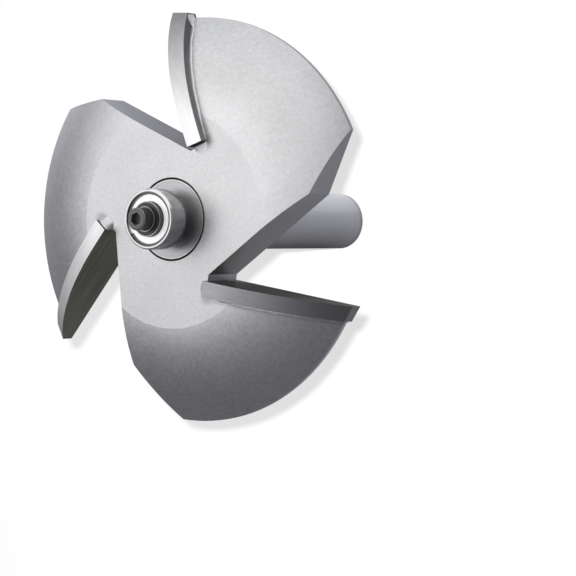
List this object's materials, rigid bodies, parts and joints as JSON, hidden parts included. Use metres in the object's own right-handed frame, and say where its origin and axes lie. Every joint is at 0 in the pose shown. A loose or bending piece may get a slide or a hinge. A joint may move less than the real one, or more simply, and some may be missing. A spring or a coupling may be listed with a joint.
{
  "type": "router bit",
  "caption": "Horizontal raised-panel router bit: carbide-tipped wings on a long round shank, with a shielded pilot bearing held on the nose by a socket-head screw.",
  "frame": {"origin": "centre of the shank's free end", "axes": "+Z along the shank towards the pilot bearing; the first cutting edge runs along +Y; the bit turns counter-clockwise about +Z"},
  "size_m": [0.0861, 0.0861, 0.0775],
  "materials": {
    "shank_steel": "ground, satin",
    "body_steel": "bead-blasted, satin",
    "carbide": "sintered on the broad sides, ground on the flanks",
    "bearing_steel": "polished",
    "pressed_steel": "bright",
    "black_oxide": "black oxide"
  },
  "bodies": {
    "bit": {"arbor": "shank_steel", "cutter_body": "body_steel", "carbide_tip_1": "carbide", "carbide_tip_2": "carbide", "carbide_tip_3": "carbide", "bearing_inner_ring": "bearing_steel", "flat_washer": "black_oxide", "lock_washer": "black_oxide", "cap_screw": "black_oxide"},
    "pilot_ring": {"bearing_outer_ring": "bearing_steel", "shield_front": "pressed_steel", "shield_back": "pressed_steel", "snap_ring_front": "pressed_steel", "snap_ring_back": "pressed_steel"},
    "ball_cage": {"bearing_ball_1": "bearing_steel", "bearing_ball_2": "bearing_steel", "bearing_ball_3": "bearing_steel", "bearing_ball_4": "bearing_steel", "bearing_ball_5": "bearing_steel", "bearing_ball_6": "bearing_steel", "bearing_ball_7": "bearing_steel", "cage_front": "pressed_steel", "cage_back": "pressed_steel"}
  },
  "joints": [
    {"name": "pilot_spin", "type": "hinge", "parent": "bit", "child": "pilot_ring", "pos_m": [0, 0, 0.07106], "axis": [0, 0, 1], "continuous": true},
    {"name": "cage_spin", "type": "hinge", "parent": "bit", "child": "ball_cage", "pos_m": [0, 0, 0.07106], "axis": [0, 0, 1], "continuous": true}
  ],
  "couplings": [
    {"joint": "cage_spin", "follows": "pilot_spin", "ratio": 0.6363}
  ]
}
